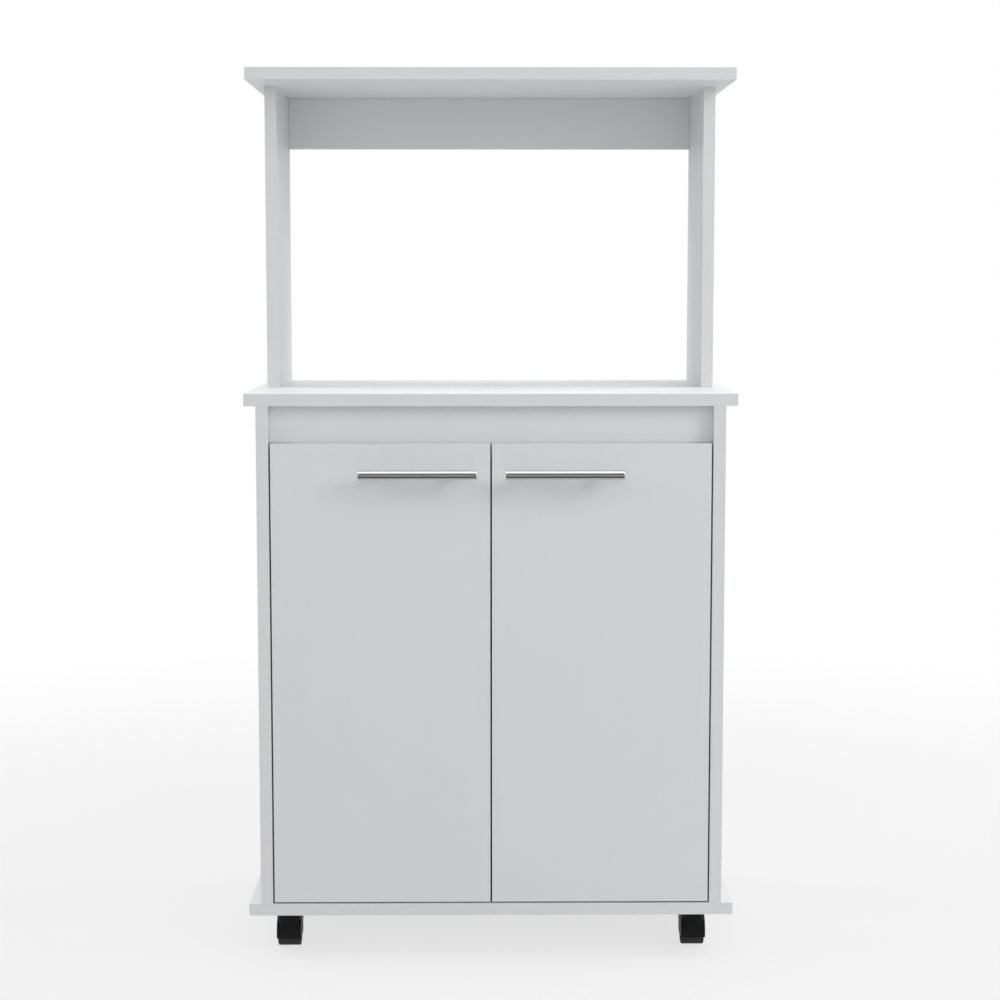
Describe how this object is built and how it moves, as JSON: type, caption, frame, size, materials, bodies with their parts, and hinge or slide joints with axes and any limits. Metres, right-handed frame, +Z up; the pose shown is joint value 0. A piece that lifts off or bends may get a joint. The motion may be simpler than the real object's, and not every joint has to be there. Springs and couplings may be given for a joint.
{
  "type": "microwave cabinet",
  "caption": "White kitchen cart with an open microwave bay over a cupboard that has inset doors with steel bar handles, standing on hooded swivel casters.",
  "frame": {"origin": "on the floor, in the middle of the whole outline seen from above, handles included", "axes": "+Z up, the doors face -Y, +X to the viewer's right when facing the doors"},
  "size_m": [0.6, 0.385, 1.0945],
  "materials": {
    "white_melamine": "white melamine face on particleboard with white edge banding, satin",
    "hardboard": "smooth brown hardboard",
    "white_plastic": "thin white adhesive cover discs",
    "beech": "fluted beech dowel",
    "satin_steel": "satin steel bar handle",
    "zinc_steel": "zinc plated steel",
    "zinc_casting": "die cast zinc",
    "nickel_steel": "nickel plated pressed steel",
    "black_plastic": "moulded black plastic hood",
    "wheel_plastic": "moulded black plastic tread"
  },
  "bodies": {
    "carcass": {"top_board": "white_melamine", "upright_left": "white_melamine", "upright_right": "white_melamine", "back_rail": "white_melamine", "counter_board": "white_melamine", "side_panel_left": "white_melamine", "side_panel_right": "white_melamine", "bottom_board": "white_melamine", "front_rail": "white_melamine", "inner_shelf": "white_melamine", "back_panel": "hardboard", "cam_covers": "white_plastic", "screw_covers": "white_plastic", "wood_dowels": "beech", "shelf_pins": "zinc_steel", "cam_bolts": "zinc_steel", "furniture_screws": "zinc_steel", "back_nails": "zinc_steel", "hinge_plate_screws": "zinc_steel", "hinge_arm_screws": "zinc_steel", "caster_screws": "zinc_steel", "caster_plates": "zinc_steel", "caster_kingpins": "zinc_steel", "cam_locks": "zinc_casting", "hinge_plates": "nickel_steel", "hinge_arms": "nickel_steel"},
    "left_door": {"door_left": "white_melamine", "hinge_cups_left": "nickel_steel", "hinge_cup_screws_left": "zinc_steel", "hinge_pins_left": "zinc_steel", "handle_bar_left": "satin_steel", "handle_posts_left": "satin_steel", "handle_screws_left": "zinc_steel"},
    "right_door": {"door_right": "white_melamine", "hinge_cups_right": "nickel_steel", "hinge_cup_screws_right": "zinc_steel", "hinge_pins_right": "zinc_steel", "handle_bar_right": "satin_steel", "handle_posts_right": "satin_steel", "handle_screws_right": "zinc_steel"},
    "swivel_front_left": {"caster_hood_front_left": "black_plastic", "caster_axle_front_left": "zinc_steel"},
    "swivel_front_right": {"caster_hood_front_right": "black_plastic", "caster_axle_front_right": "zinc_steel"},
    "swivel_rear_left": {"caster_hood_rear_left": "black_plastic", "caster_axle_rear_left": "zinc_steel"},
    "swivel_rear_right": {"caster_hood_rear_right": "black_plastic", "caster_axle_rear_right": "zinc_steel"},
    "wheel_front_left": {"caster_wheel_front_left": "wheel_plastic"},
    "wheel_front_right": {"caster_wheel_front_right": "wheel_plastic"},
    "wheel_rear_left": {"caster_wheel_rear_left": "wheel_plastic"},
    "wheel_rear_right": {"caster_wheel_rear_right": "wheel_plastic"}
  },
  "joints": [
    {"name": "left_door_hinge", "type": "hinge", "parent": "carcass", "child": "left_door", "pos_m": [-0.2575, -0.1516, 0.354], "axis": [0, 0, -1], "range_deg": [0, 100]},
    {"name": "right_door_hinge", "type": "hinge", "parent": "carcass", "child": "right_door", "pos_m": [0.2575, -0.1516, 0.354], "axis": [0, 0, 1], "range_deg": [0, 100]},
    {"name": "swivel_front_left", "type": "hinge", "parent": "carcass", "child": "swivel_front_left", "pos_m": [-0.254, -0.1195, 0.045], "axis": [0, 0, 1], "continuous": true},
    {"name": "swivel_front_right", "type": "hinge", "parent": "carcass", "child": "swivel_front_right", "pos_m": [0.254, -0.1195, 0.045], "axis": [0, 0, 1], "continuous": true},
    {"name": "swivel_rear_left", "type": "hinge", "parent": "carcass", "child": "swivel_rear_left", "pos_m": [-0.254, 0.1545, 0.045], "axis": [0, 0, 1], "continuous": true},
    {"name": "swivel_rear_right", "type": "hinge", "parent": "carcass", "child": "swivel_rear_right", "pos_m": [0.254, 0.1545, 0.045], "axis": [0, 0, 1], "continuous": true},
    {"name": "roll_front_left", "type": "hinge", "parent": "swivel_front_left", "child": "wheel_front_left", "pos_m": [-0.254, -0.1075, 0.02], "axis": [1, 0, 0], "continuous": true},
    {"name": "roll_front_right", "type": "hinge", "parent": "swivel_front_right", "child": "wheel_front_right", "pos_m": [0.254, -0.1075, 0.02], "axis": [1, 0, 0], "continuous": true},
    {"name": "roll_rear_left", "type": "hinge", "parent": "swivel_rear_left", "child": "wheel_rear_left", "pos_m": [-0.254, 0.1665, 0.02], "axis": [1, 0, 0], "continuous": true},
    {"name": "roll_rear_right", "type": "hinge", "parent": "swivel_rear_right", "child": "wheel_rear_right", "pos_m": [0.254, 0.1665, 0.02], "axis": [1, 0, 0], "continuous": true}
  ]
}
